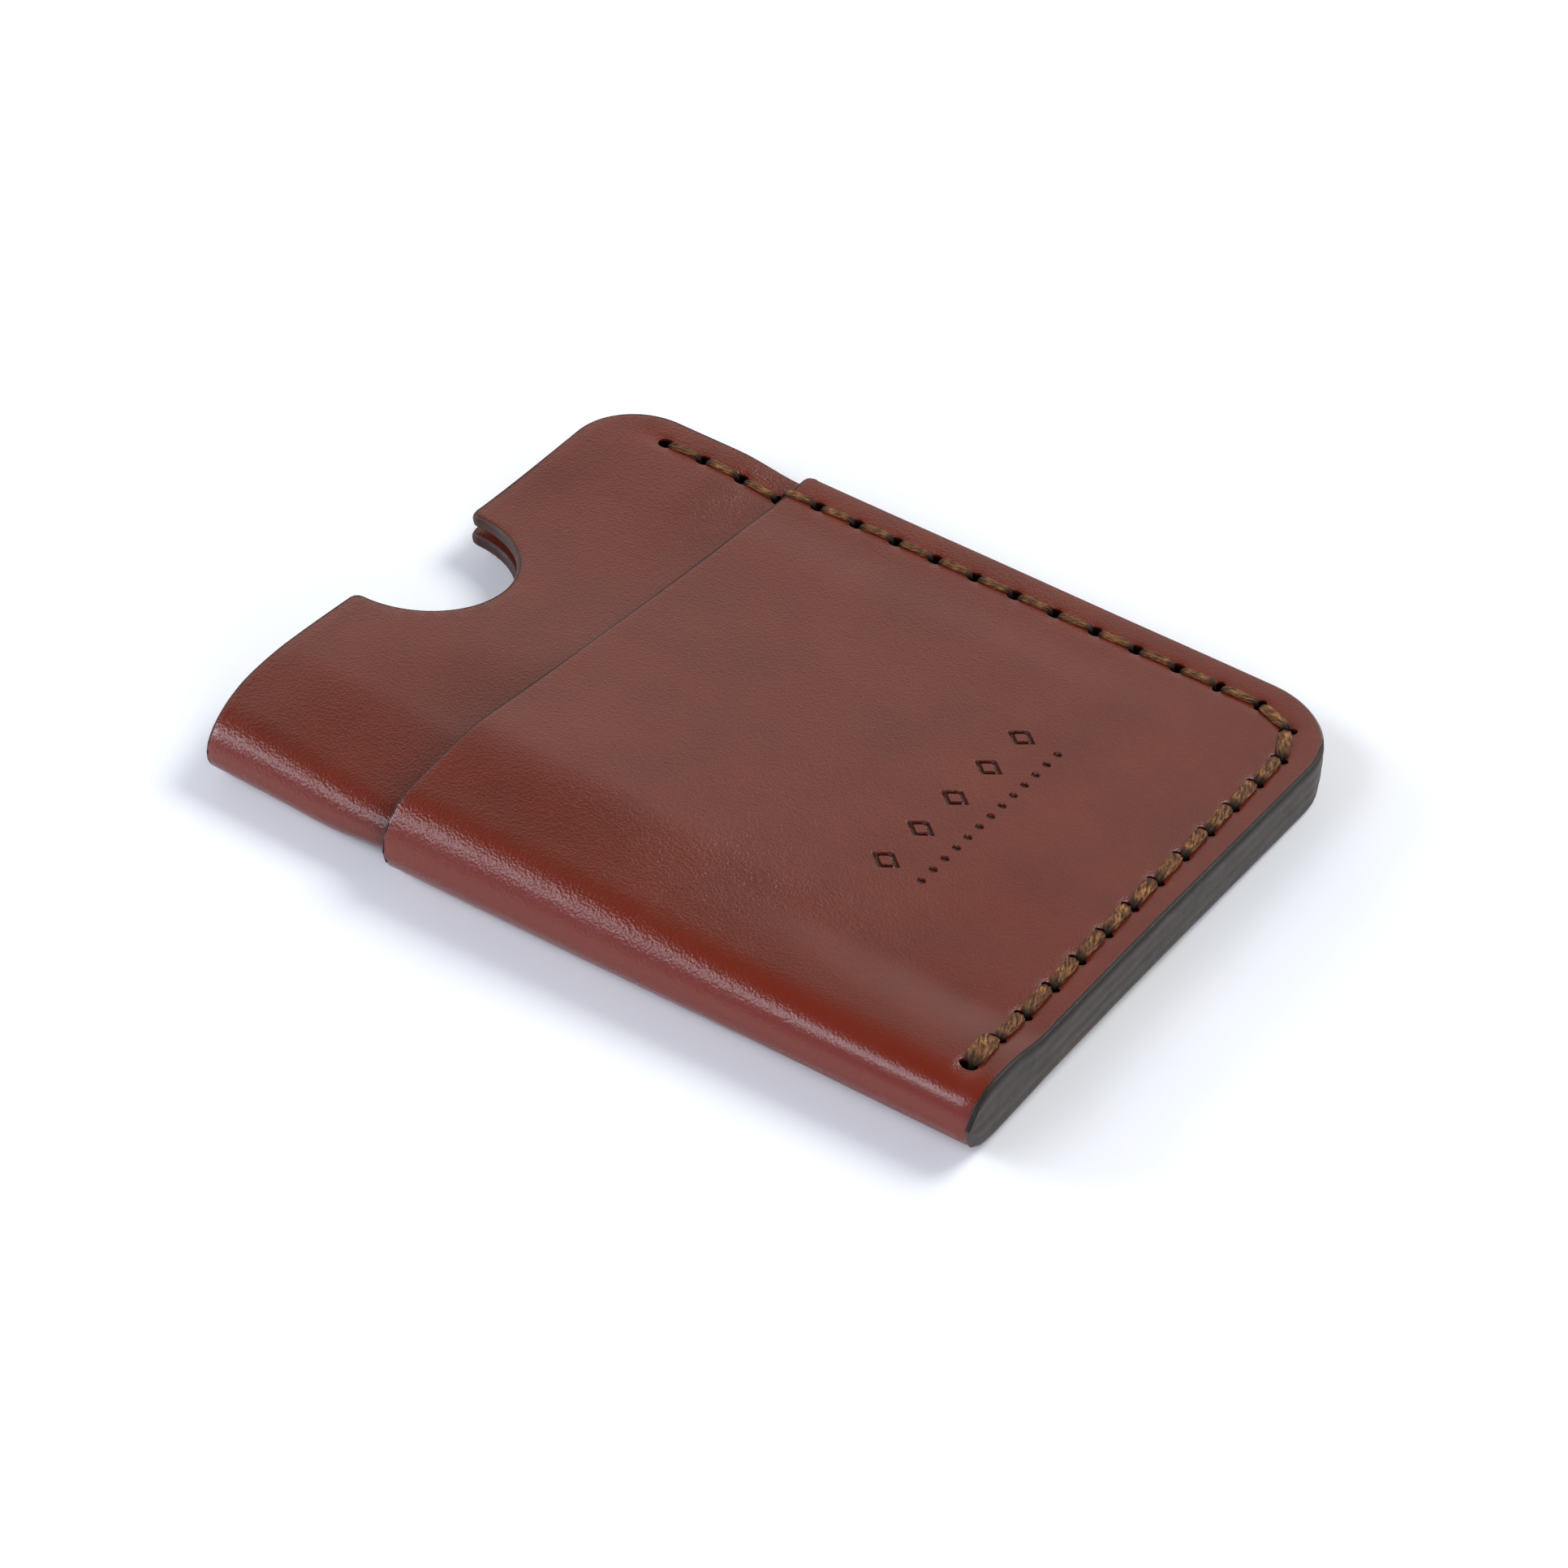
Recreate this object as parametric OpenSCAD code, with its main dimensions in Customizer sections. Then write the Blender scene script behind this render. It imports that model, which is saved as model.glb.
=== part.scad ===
// Minimalist wallet: a hand-stitched leather card sleeve, lying on its back pocket.
// Two pieces of leather are each folded once along the same long edge. The sleeve is the
// longer one and holds the cards. The wrap goes round it and makes a flat slot on each face.
// A saddle stitch closes the other long edge and one end. +X points to the closed end,
// -Y to the fold, and +Z up. The origin is under the middle of the footprint.

/* [Size] */
// Length from the sleeve's mouth to the closed end
length = 93.5; // [92:0.5:98]
// Width from the fold to the sewn long edge
width = 76; // [74:0.5:82]
// Distance that the wrap's mouth is set back from the sleeve's mouth
mouth_step = 25; // [25:0.5:28]

/* [Leather] */
// Thickness of one layer of leather
leather_t = 1.45; // [1.2:0.05:1.6]
// Thickness of the dried cement between two layers
bond_t = 0.1; // [0.06:0.01:0.15]
// Width of the flat cemented margin along the seam
margin = 7; // [6.5:0.5:8]
// Thickness of the painted bead on the cut edges
coat_t = 0.25; // [0.15:0.05:0.35]

/* [Pockets] */
// Clear height of the card pocket beside the fold
pocket_h = 4.3; // [3:0.1:4.6]
// Clear height left inside the fold at the closed end
fold_gap = 1.4; // [1:0.1:1.8]
// Clear height of the slot between the wrap's front and the sleeve
slot_h = 0.35; // [0.2:0.05:0.6]
// Height of the sewn margins above the surface that the back panel lies on
seam_lift = 0.65; // [0.65:0.05:1]

/* [Corners and notch] */
// Radius of the corner between the sewn edge and the closed end
end_corner_r = 10; // [9:0.5:12]
// Radius of the sleeve's corner between the mouth and the sewn edge
mouth_corner_r = 8; // [6:0.5:9]
// Width of the thumb notch
notch_w = 20; // [18:0.5:22]
// Depth of the thumb notch from the mouth
notch_depth = 11.3; // [11:0.1:13]

/* [Stitching] */
// Distance between stitch holes
pitch = 5; // [5:0.05:5.1]
// Distance from the sewn long edge to the stitch line
side_inset = 4; // [3.5:0.1:4.2]
// Distance from the closed end to the stitch line
end_inset = 3.5; // [3:0.1:3.8]
// Diameter of a stitch hole
hole_d = 1.7; // [1.6:0.05:1.8]
// Width of the flat braided thread where it lies on the leather
thread_w = 1.1; // [0.9:0.05:1.2]
// Thickness of the thread where it lies on the leather
thread_t = 0.6; // [0.5:0.05:0.6]

/* [Hidden] */

half_l = length / 2;
half_w = width / 2;
wrap_mouth_x = mouth_step - half_l;
eps = 0.01;
far = 200;
cut_low = -1;
cut_high = 20;

// The margins are flat from these lines outwards, and the cement stops just short of them.
flat_y = half_w - margin;
flat_x = half_l - margin + 0.25;
bond_inset = 0.25;
blend_w = 7;
lift_run = 8;
open_x = -15;
slot_run = 20;

// Heights in the flat margin, from the underside up
layer = leather_t + bond_t;
cavity_floor = 2 * leather_t + bond_t;
back_bond_z = seam_lift + leather_t;
middle_bond_z = back_bond_z + layer;
front_bond_z = middle_bond_z + layer;
seam_top = front_bond_z + layer;
sleeve_top = front_bond_z;
sleeve_bottom = seam_lift + layer;
bulb_top = seam_lift + fold_gap + 2 * cavity_floor;

// The fold's inside: a lower and an upper quarter of an oval that meet at its tip
tip_y = cavity_floor - half_w;
tip_run_low = 2.5;
tip_run_shut = 2.5;
tip_run_open = 9;
tip_height_shut = 0.5;
tip_height_open = 0.3;
neck_y = tip_y + 11;
swell_y = tip_y + 4;
crown_y = tip_y + 21;
slot_start_y = tip_y + 5;
slot_full_y = tip_y + 13;

// Number of steps along each stretch of the cross-section and of the length
BLEND_STEPS = 5;
FLOOR_STEPS = 3;
TIP_LOW_STEPS = 4;
TIP_HIGH_STEPS = 7;
ROOF_STEPS = 14;
BODY_STEPS = 6;
END_STEPS = 4;

// Stitch path: along the sewn edge, round the corner, and along the closed end
path_r = 6;
path_y = half_w - side_inset;
path_x = half_l - end_inset;
path_corner_x = path_x - path_r;
path_corner_y = path_y - path_r;
side_holes = 15;
HOLES = 30;
THREAD_SIDES = 8;
strand_r = 0.33;
strand_side = 0.36;
strand_ahead = 0.2;
lay_start = 0.9;
lay_gap = 0.02;

function mix(a, b, u) = a + (b - a) * u;
function smooth(a, b, v) = let (u = min(1, max(0, (v - a) / (b - a)))) u * u * (3 - 2 * u);
function unit(v) = v / norm(v);

// How far the card pocket stands open at length x: 1 at the mouth, 0 at the closed end
function openness(x) = 1 - smooth(open_x, flat_x, x);

// Height of the wrap's underside: flat on the table, lifted along both sewn margins
function underside(x, y) =
    seam_lift * (1 - (1 - smooth(flat_y - blend_w, flat_y, y)) * (1 - smooth(flat_x - lift_run, flat_x, x)));

function pocket_gap(x) = mix(fold_gap, pocket_h, openness(x));

function roof(x, y) =
    let (o = openness(x))
    underside(x, y) + cavity_floor + bond_t
        + (pocket_gap(x) - bond_t) * (1 - smooth(mix(swell_y, crown_y, o), mix(neck_y, flat_y, o), y));

// One cross-section of the card pocket's inside, from the sewn edge along the bottom,
// round the fold, and back along the top
function section(x) =
    let (
        o = openness(x),
        run_high = mix(tip_run_shut, tip_run_open, o),
        rise_low = pocket_gap(x) * mix(tip_height_shut, tip_height_open, o),
        rise_high = pocket_gap(x) - rise_low,
        floor_end = tip_y + tip_run_low,
        tip_z = underside(x, tip_y) + cavity_floor + rise_low,
        roof_start = tip_y + run_high,
        blend_start = flat_y - blend_w,
        floor_ys = concat([half_w], [for (i = [0:BLEND_STEPS]) mix(flat_y, blend_start, i / BLEND_STEPS)],
            [for (i = [1:FLOOR_STEPS - 1]) mix(blend_start, floor_end, i / FLOOR_STEPS)]),
        roof_ys = concat([for (i = [1:ROOF_STEPS]) mix(roof_start, blend_start, pow(i / ROOF_STEPS, 1.5))],
            [for (i = [1:BLEND_STEPS]) mix(blend_start, flat_y, i / BLEND_STEPS)], [half_w])
    )
    concat(
        [for (y = floor_ys) [y, underside(x, y) + cavity_floor]],
        [for (i = [0:TIP_LOW_STEPS - 1]) let (a = 90 * i / TIP_LOW_STEPS)
            [floor_end - tip_run_low * sin(a), tip_z - rise_low * cos(a)]],
        [for (i = [0:TIP_HIGH_STEPS]) let (a = 90 * i / TIP_HIGH_STEPS)
            [roof_start - run_high * cos(a), tip_z + rise_high * sin(a)]],
        [for (y = roof_ys) [y, roof(x, y)]]);

// Extra room of the front slot at a point of the cross-section
function slot_room(x, p, crown_z) =
    p[1] < crown_z ? 0 : slot_h * smooth(slot_start_y, slot_full_y, p[0])
        * (1 - smooth(flat_y - blend_w, flat_y, p[0])) * (1 - smooth(flat_x - slot_run, flat_x, x));

// The same cross-section moved outwards by distance d, square to its own surface
function shell(x, d, with_slot) =
    let (
        p = section(x),
        last = len(p) - 1,
        mid_z = underside(x, tip_y) + cavity_floor + pocket_gap(x) / 2
    )
    [for (j = [0:last])
        let (
            t = unit(p[min(last, j + 1)] - p[max(0, j - 1)]),
            n = (j == 0 || j == last) ? [0, j == 0 ? -1 : 1] : [-t[1], t[0]],
            reach = d + (with_slot && j > last / 2 ? slot_room(x, p[j], mid_z) : 0)
        )
        [x, p[j][0] + n[0] * reach, p[j][1] + n[1] * reach]];

function stations(x0) =
    let (end_start = flat_x - lift_run)
    concat([x0], x0 < wrap_mouth_x - eps ? [wrap_mouth_x] : [],
        [for (i = [0:BODY_STEPS]) mix(open_x, end_start, i / BODY_STEPS)],
        [for (i = [1:END_STEPS]) mix(end_start, flat_x, i / END_STEPS)], [half_l]);

// One folded sheet of leather, between distances d0 and d1 from the pocket's inside
module sheet(x0, d0, d1, with_slot) {
    xs = stations(x0);
    n = len(section(0));
    rings = [for (x = xs) concat(shell(x, d1, with_slot), shell(x, d0, with_slot))];
    last = len(xs) - 1;
    skins = [for (i = [0:last - 1]) for (j = [0:n - 2])
        let (a = 2 * n * i + j, b = a + 2 * n)
        each [[a, b + 1, b], [a, a + 1, b + 1],
            [a + n, b + n, b + n + 1], [a + n, b + n + 1, a + n + 1]]];
    cuts = [for (i = [0:last - 1])
        let (a = 2 * n * i, b = a + 2 * n)
        each [[a, b + n, a + n], [a, b, b + n],
            [a + n - 1, b + 2 * n - 1, b + n - 1], [a + n - 1, a + 2 * n - 1, b + 2 * n - 1]]];
    caps = [for (j = [0:n - 2])
        let (b = 2 * n * last + j)
        each [[j, j + n + 1, j + 1], [j, j + n, j + n + 1],
            [b, b + 1, b + n + 1], [b, b + n + 1, b + n]]];
    polyhedron(points = [for (r = rings) each r], faces = concat(skins, cuts, caps));
}

// Plan outline that is square at the fold and rounded at both ends of the sewn edge
module plan(x0, x1, y1, r0, r1) {
    r_low = max(r0, r1, eps);
    base_y = -half_w - 5;
    translate([x0, base_y])
        square([x1 - x0, y1 - r_low - base_y]);
    translate([x0 + r0, base_y])
        square([x1 - r1 - x0 - r0, y1 - base_y]);
    for (c = [[x0 + r0, r0], [x1 - r1, r1]])
        if (c[1] > 0) {
            translate([c[0], y1 - c[1]])
                circle(r = c[1], $fn = 96);
            translate([c[0] - c[1], base_y])
                square([2 * c[1], y1 - c[1] - base_y]);
        }
}

// The thumb notch, grown by g: straight sides that end in a half circle
module notch(g) {
    r = notch_w / 2 + g;
    centre_x = notch_depth - notch_w / 2 - half_l;
    translate([centre_x, 0])
        circle(r = r, $fn = 96);
    translate([centre_x - 10, -r])
        square([10, 2 * r]);
}

// Plan outlines of the two leather pieces, with the cut edges inset by g
module sleeve_plan(g) {
    difference() {
        plan(g - half_l, half_l - g, half_w - g, mouth_corner_r - g, end_corner_r - g);
        notch(g);
    }
}

module wrap_plan(g) {
    plan(wrap_mouth_x + g, half_l - g, half_w - g, 0, end_corner_r - g);
}

// An outline made into a slab between two heights, and one taller than the whole part
module slab(z0, z1) {
    translate([0, 0, z0])
        linear_extrude(z1 - z0)
            children();
}

// Point number k on the stitch path: [position, direction along the path]
function path_point(k) =
    let (
        s = (k - side_holes) * pitch,
        turn = PI / 2 * path_r,
        a = s / path_r * 180 / PI
    )
    s <= 0 ? [[path_corner_x + s, path_y], [1, 0]]
        : s < turn ? [[path_corner_x + path_r * sin(a), path_corner_y + path_r * cos(a)], [cos(a), -sin(a)]]
            : [[path_x, path_corner_y - (s - turn)], [0, -1]];

module stitch_holes() {
    for (k = [0:HOLES - 1])
        translate(concat(path_point(k)[0], cut_low))
            cylinder(d = hole_d, h = cut_high - cut_low, $fn = 32);
}

// Height of the surface that a stitch lies on at hole k, on the front or on the back
function in_step(k) = path_point(k)[0][0] < wrap_mouth_x;
function front_z(k) = in_step(k) ? sleeve_top : path_point(k)[0][1] < neck_y ? bulb_top : seam_top;
function back_z(k) = in_step(k) ? sleeve_bottom : seam_lift;

function ring(c, d, v, a, h) =
    let (w = cross(d, v))
    [for (i = [0:THREAD_SIDES - 1])
        let (t = 360 * i / THREAD_SIDES)
        c + v * a * cos(t) + w * h * sin(t)];

// Rings of one stitch from hole k to hole k + 1: up or down out of the hole, along the
// leather at height z on side f (1 front, -1 back), and into the next hole
function stitch_rings(k, f) =
    let (
        p0 = path_point(k),
        p1 = path_point(k + 1),
        u0 = concat(p0[1], 0),
        u1 = concat(p1[1], 0),
        v0 = [-u0[1], u0[0], 0],
        v1 = [-u1[1], u1[0], 0],
        up = [0, 0, f],
        surface0 = f > 0 ? front_z(k) : back_z(k),
        surface1 = f > 0 ? front_z(k + 1) : back_z(k + 1),
        climb = in_step(k) != in_step(k + 1),
        z0 = climb ? surface1 : surface0,
        off = f * (thread_t / 2 + lay_gap),
        c0 = concat(p0[0], z0 + off) + u0 * strand_ahead + v0 * f * strand_side,
        c1 = concat(p1[0], surface1 + off) - u1 * strand_ahead - v1 * f * strand_side,
        run = unit(c1 - c0),
        side = unit(cross([0, 0, 1], run)),
        lay0 = c0 + run * (lay_start - strand_ahead),
        lay1 = c1 - run * (lay_start - strand_ahead)
    )
    [
        ring([c0[0], c0[1], surface0], up, v0, strand_r, strand_r),
        ring(c0, unit(up + u0), v0, strand_r, strand_r),
        ring(lay0, run, side, thread_w / 2, thread_t / 2),
        ring(lay1, run, side, thread_w / 2, thread_t / 2),
        ring(c1, unit(u1 - up), v1, strand_r, strand_r),
        ring([c1[0], c1[1], surface1], -up, v1, strand_r, strand_r)
    ];

function hole_ring(k, f, ahead) =
    let (
        p = path_point(k),
        u = concat(p[1], 0),
        v = [-u[1], u[0], 0],
        z = (front_z(k) + back_z(k)) / 2
    )
    ring(concat(p[0], z) + u * strand_ahead * ahead + v * strand_side * ahead * f,
        [0, 0, f * ahead], v, strand_r, strand_r);

// The half of the thread on one needle, which lies on the front over every second stitch
module strand(first_face) {
    last = HOLES - 1;
    rings = concat(
        [hole_ring(0, 1, 1 * first_face)],
        [for (k = [0:last - 1]) each stitch_rings(k, k % 2 == 0 ? first_face : -first_face)],
        [hole_ring(last, first_face, -1)]);
    m = THREAD_SIDES;
    total = len(rings);
    sides = [for (i = [0:total - 2]) for (j = [0:m - 1])
        let (a = m * i + j, b = m * i + (j + 1) % m)
        each [[a, a + m, b + m], [a, b + m, b]]];
    start = [for (j = [0:m - 1]) j];
    end = [for (j = [m - 1:-1:0]) m * (total - 1) + j];
    polyhedron(points = [for (r = rings) each r], faces = concat(sides, [start, end]));
}

// Margin of cement between two layers, in an outline inset by the edge coat
module bond(z0) {
    slab(z0, z0 + bond_t)
        difference() {
            children();
            translate([-far, -far])
                square([far + flat_x + bond_inset, far + flat_y + bond_inset]);
            translate([0, neck_y + bond_inset - far])
                square([far, far]);
        }
}

module inner_sleeve() {
    color("#7a3527")
        difference() {
            intersection() {
                sheet(-half_l, 0, leather_t, false);
                slab(cut_low, cut_high)
                    sleeve_plan(coat_t);
            }
            stitch_holes();
        }
}

module outer_wrap() {
    color("#86392a")
        difference() {
            intersection() {
                sheet(wrap_mouth_x, layer, layer + leather_t, true);
                slab(cut_low, cut_high)
                    wrap_plan(coat_t);
            }
            stitch_holes();
        }
}

module thread_needle_a() {
    color("#7d5c3c")
        strand(1);
}

module thread_needle_b() {
    color("#7d5c3c")
        strand(-1);
}

// Painted face over all four layers, from the wrap's mouth round the corner to the fold
module edge_coat_seam() {
    profile = [for (p = shell(half_l, layer + leather_t, true)) [p[1], p[2]]];
    color("#3f3533")
        difference() {
            intersection() {
                union() {
                    translate([flat_x, 0, 0])
                        rotate([90, 0, 90])
                            linear_extrude(half_l - flat_x)
                                polygon(profile);
                    translate([wrap_mouth_x, flat_y, seam_lift])
                        cube([flat_x - wrap_mouth_x, margin, seam_top - seam_lift]);
                }
                slab(cut_low, cut_high)
                    wrap_plan(0);
            }
            slab(cut_low - 1, cut_high + 1)
                union() {
                    wrap_plan(coat_t);
                    translate([wrap_mouth_x - 1, -far])
                        square([2, far + half_w - coat_t]);
                }
        }
}

// Painted edge of the sleeve's mouth, notch and far corner, up to the wrap
module edge_coat_sleeve_mouth() {
    color("#3f3533")
        difference() {
            intersection() {
                sheet(-half_l, 0, leather_t, false);
                slab(cut_low, cut_high)
                    sleeve_plan(0);
            }
            slab(cut_low - 1, cut_high + 1)
                union() {
                    sleeve_plan(coat_t);
                    translate([wrap_mouth_x, -far])
                        square([far, 2 * far]);
                }
        }
}

// Painted edge of the wrap's mouth, round the fold from front to back
module edge_coat_wrap_mouth() {
    color("#3f3533")
        intersection() {
            sheet(wrap_mouth_x, layer, layer + leather_t, true);
            translate([wrap_mouth_x - 1, -far, cut_low])
                cube([1 + coat_t, far + half_w - coat_t, cut_high - cut_low]);
        }
}

module bond_front() {
    color("#b9a27a")
        difference() {
            bond(front_bond_z)
                wrap_plan(coat_t);
            stitch_holes();
        }
}

module bond_middle() {
    color("#b9a27a")
        difference() {
            bond(middle_bond_z)
                sleeve_plan(coat_t);
            stitch_holes();
        }
}

module bond_back() {
    color("#b9a27a")
        difference() {
            bond(back_bond_z)
                wrap_plan(coat_t);
            stitch_holes();
        }
}

inner_sleeve();
outer_wrap();
thread_needle_a();
thread_needle_b();
edge_coat_seam();
edge_coat_sleeve_mouth();
edge_coat_wrap_mouth();
bond_front();
bond_middle();
bond_back();
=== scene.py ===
"""A hand-stitched leather card sleeve on a pale floor.

Every length in this script is in millimetres, in the frame of the CAD model: +X to the closed
end, -Y to the fold, +Z up. add_mesh() turns them into metres. The leather is laid out on a
pattern with two coordinates: x, and v, which runs across the back, round the fold at v = 0, and
across the front. surface() folds the pattern up.
"""
import math

import bmesh
import bpy
import numpy as np
from mathutils import Matrix, Vector, geometry


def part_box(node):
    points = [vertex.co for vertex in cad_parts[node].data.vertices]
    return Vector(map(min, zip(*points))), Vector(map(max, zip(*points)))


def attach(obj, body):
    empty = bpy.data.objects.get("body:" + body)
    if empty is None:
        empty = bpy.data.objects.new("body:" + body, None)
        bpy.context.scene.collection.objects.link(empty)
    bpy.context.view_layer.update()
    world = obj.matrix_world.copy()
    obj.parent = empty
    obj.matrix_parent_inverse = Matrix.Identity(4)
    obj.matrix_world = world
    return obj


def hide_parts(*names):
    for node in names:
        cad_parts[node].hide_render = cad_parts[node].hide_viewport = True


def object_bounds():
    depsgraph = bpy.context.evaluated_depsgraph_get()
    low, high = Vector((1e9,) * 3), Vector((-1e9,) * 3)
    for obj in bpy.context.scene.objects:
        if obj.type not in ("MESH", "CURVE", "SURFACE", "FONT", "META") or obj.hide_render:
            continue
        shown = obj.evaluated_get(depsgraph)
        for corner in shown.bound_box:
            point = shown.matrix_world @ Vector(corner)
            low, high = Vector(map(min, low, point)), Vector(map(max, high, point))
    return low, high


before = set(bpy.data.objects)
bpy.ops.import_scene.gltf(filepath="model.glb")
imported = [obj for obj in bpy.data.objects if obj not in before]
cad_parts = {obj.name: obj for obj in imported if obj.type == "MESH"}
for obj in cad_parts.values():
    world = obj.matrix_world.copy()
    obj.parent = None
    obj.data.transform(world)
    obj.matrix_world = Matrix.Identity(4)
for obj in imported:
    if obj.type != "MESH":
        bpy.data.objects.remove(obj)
CAD_LOW, CAD_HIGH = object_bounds()

MM = 0.001
HALF_L = CAD_HIGH.x / MM
HALF_W = CAD_HIGH.y / MM
WRAP_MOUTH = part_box("edge_coat_wrap_mouth")[0].x / MM

# Layers of leather and cement, as distances out from the inside of the card pocket
LEATHER = 1.45
BOND = 0.1
LAYER = LEATHER + BOND
WRAP_IN = LAYER
WRAP_OUT = LAYER + LEATHER
MARGIN_Y = HALF_W - 7
MARGIN_X = HALF_L - 6.75
SLOT = 0.35

# The pocket: how far it stands open, and the shape of the fold
OPEN_X = -15
POCKET = 4.3
POCKET_AT_MOUTH = 3.35
FOLD_GAP = 1.35
CROWN_Y = -23
CROWN_FALL = 0.26
SLOPE_POWER = 1.45
SLOPE_POWER_AT_MOUTH = 2.0
SHOULDER_AT_MOUTH = 1.5
BULB_START = -23.5
BULB_END = -31
TIP_Y = WRAP_OUT - HALF_W - 0.4
TIP_SPREAD = 0.5
TIP_SPRING = 0.3
TIP_RETREAT = 0.75
NOSE_LOW = 1.5
NOSE_LOW_SEWN = 2.2
NOSE_HIGH = 2.9
NOSE_HIGH_AT_MOUTH = 4.4
DIP = 1.2
NOSE_HEIGHT = 0.45
ARCH = 1.0
CURL = 0.85
MOUTH_SAG = 1.0

# The pattern: v is FOLD_V at width BLEND_Y on the front, and -FOLD_V there on the back
BLEND_Y = -19
FOLD_V = 18
TOP_V = FOLD_V + HALF_W - BLEND_Y

# Cut outlines
END_R = 10
MOUTH_R = 8
NOTCH_R = 10
NOTCH_DEPTH = 11.3
NOTCH_CORNER_R = 1.1
WRAP_CORNER_R = 1.0
MOUTH_RECEDES = 1.5
RECEDE_WIDTH = 5.5

# Stitches. The long side is pulled tighter than the closed end, and the back is pressed in
# deeper, so that the wallet lies flat.
PITCH = 5
HOLES = 30
SIDE_HOLES = 15
WRAP_FIRST_HOLE = 4
PATH_Y = HALF_W - 4
PATH_X = HALF_L - 3.5
PATH_R = 6
SLIT = (1.2, 2.05)
SIDE_SLIT = (1.8, 1.7)
THREAD_W = 1.4
THREAD_T = 0.7
TIGHT_W = 0.94
TIGHT_T = 0.55
STITCH_SLANT = 0.17
TIGHT_SLANT = 0.05
SINK = 0.14
BACK_SINK = 0.5
BACK_FLAT = 0.75


def smooth(a, b, v):
    """0 at a and 1 at b, with a soft start and end."""
    u = np.clip((v - a) / (b - a), 0, 1)
    return u * u * (3 - 2 * u)


def mix(a, b, u):
    return a + (b - a) * u


def unit(v):
    return v / np.maximum(np.linalg.norm(v, axis=-1, keepdims=True), 1e-9)


# ---------------------------------------------------------------- the folded shape

def openness(x):
    return 1 - smooth(OPEN_X, MARGIN_X, x)


def mouthward(x):
    """0 at the wrap's mouth and 1 at the sleeve's mouth."""
    return smooth(WRAP_MOUTH - 2, -HALF_L - 4, x)


def past_wrap(x, reach):
    """0 inside the wrap and 1 from a reach beyond its mouth."""
    return smooth(WRAP_MOUTH + 0.5, WRAP_MOUTH - reach, x)


def base_z(x, y):
    """Height of the card pocket's flat bed. The closed end arches a little off the table."""
    arch = ARCH * smooth(HALF_W, -12, y) * (1 - 0.35 * smooth(-20, -32, y))
    return WRAP_OUT + arch * (1 - openness(x))


def floor_z(x, y):
    """Height of the pocket's floor. Beyond the wrap the fold sags towards the table."""
    return base_z(x, y) - MOUTH_SAG * past_wrap(x, 9) * smooth(5, -25, y)


def roof_z(x, y):
    """Height of the pocket's roof: highest near the fold, and shut at the sewn margins."""
    o = openness(x)
    m = mouthward(x)
    u = np.clip((y - CROWN_Y) / (MARGIN_Y - CROWN_Y), 0, 1)
    slope = (1 - u ** mix(1, SHOULDER_AT_MOUTH, m)) ** mix(SLOPE_POWER, SLOPE_POWER_AT_MOUTH, m)
    fall = CROWN_FALL * np.clip((CROWN_Y - y) / (CROWN_Y - TIP_Y), 0, 1) ** 1.3
    opened = mix(POCKET, POCKET_AT_MOUTH, m) * (slope - fall)
    bulb = FOLD_GAP * smooth(BULB_START, BULB_END, y)
    return base_z(x, y) + BOND + o * opened + (1 - o) * bulb


def dip(x, y):
    """How far the sleeve's front drops clear of the wrap's around the wrap's mouth."""
    along = smooth(-HALF_L + 4, WRAP_MOUTH - 2, x) * (1 - smooth(WRAP_MOUTH + 4, WRAP_MOUTH + 30, x))
    return DIP * along * smooth(-6, -25, y)


def curl(x, y):
    """How far the sleeve's sewn edge curls up beyond the wrap."""
    return CURL * smooth(WRAP_MOUTH - 0.5, WRAP_MOUTH - 9, x) * smooth(8, 32, y)


def tip_y(x):
    """The fold's furthest reach: a little further out at the open end, and drawn in at the mouth."""
    spread = TIP_SPREAD * x / HALF_L
    spring = TIP_SPRING * past_wrap(x, 1)
    return TIP_Y + spread - spring + TIP_RETREAT * mouthward(x)


def section(x, vs, dips):
    """y and z of the pocket's inside at length x, at each pattern coordinate in vs."""
    def roof_at(y):
        return roof_z(x, y) - dips * dip(x, y)

    tip = tip_y(x)
    low_y = tip + mix(NOSE_LOW_SEWN, NOSE_LOW, openness(x))
    high_y = tip + mix(NOSE_HIGH, NOSE_HIGH_AT_MOUTH, mouthward(x))
    low_z = floor_z(x, low_y)
    high_z = roof_at(high_y)
    tip_z = mix(low_z, high_z, NOSE_HEIGHT)
    a = np.linspace(0, math.pi / 2, 25)
    back = np.linspace(BLEND_Y, low_y, 60)
    roof = np.linspace(high_y, BLEND_Y, 60)
    y = np.concatenate([back, mix(low_y, tip, np.sin(a)), mix(high_y, tip, np.cos(a)), roof])
    z = np.concatenate([
        floor_z(x, back),
        tip_z - (tip_z - low_z) * np.cos(a),
        tip_z + (high_z - tip_z) * np.sin(a),
        roof_at(roof)])
    run = np.concatenate([[0], np.cumsum(np.hypot(np.diff(y), np.diff(z)))])
    fold_v = FOLD_V * (2 * run / run[-1] - 1)
    flat_y = BLEND_Y + np.abs(vs) - FOLD_V
    flat_z = np.where(vs > 0, roof_at(flat_y), floor_z(x, flat_y)) + dips * curl(x, flat_y)
    in_fold = np.abs(vs) < FOLD_V
    return (np.where(in_fold, np.interp(vs, fold_v, y), flat_y),
            np.where(in_fold, np.interp(vs, fold_v, z), flat_z))


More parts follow.
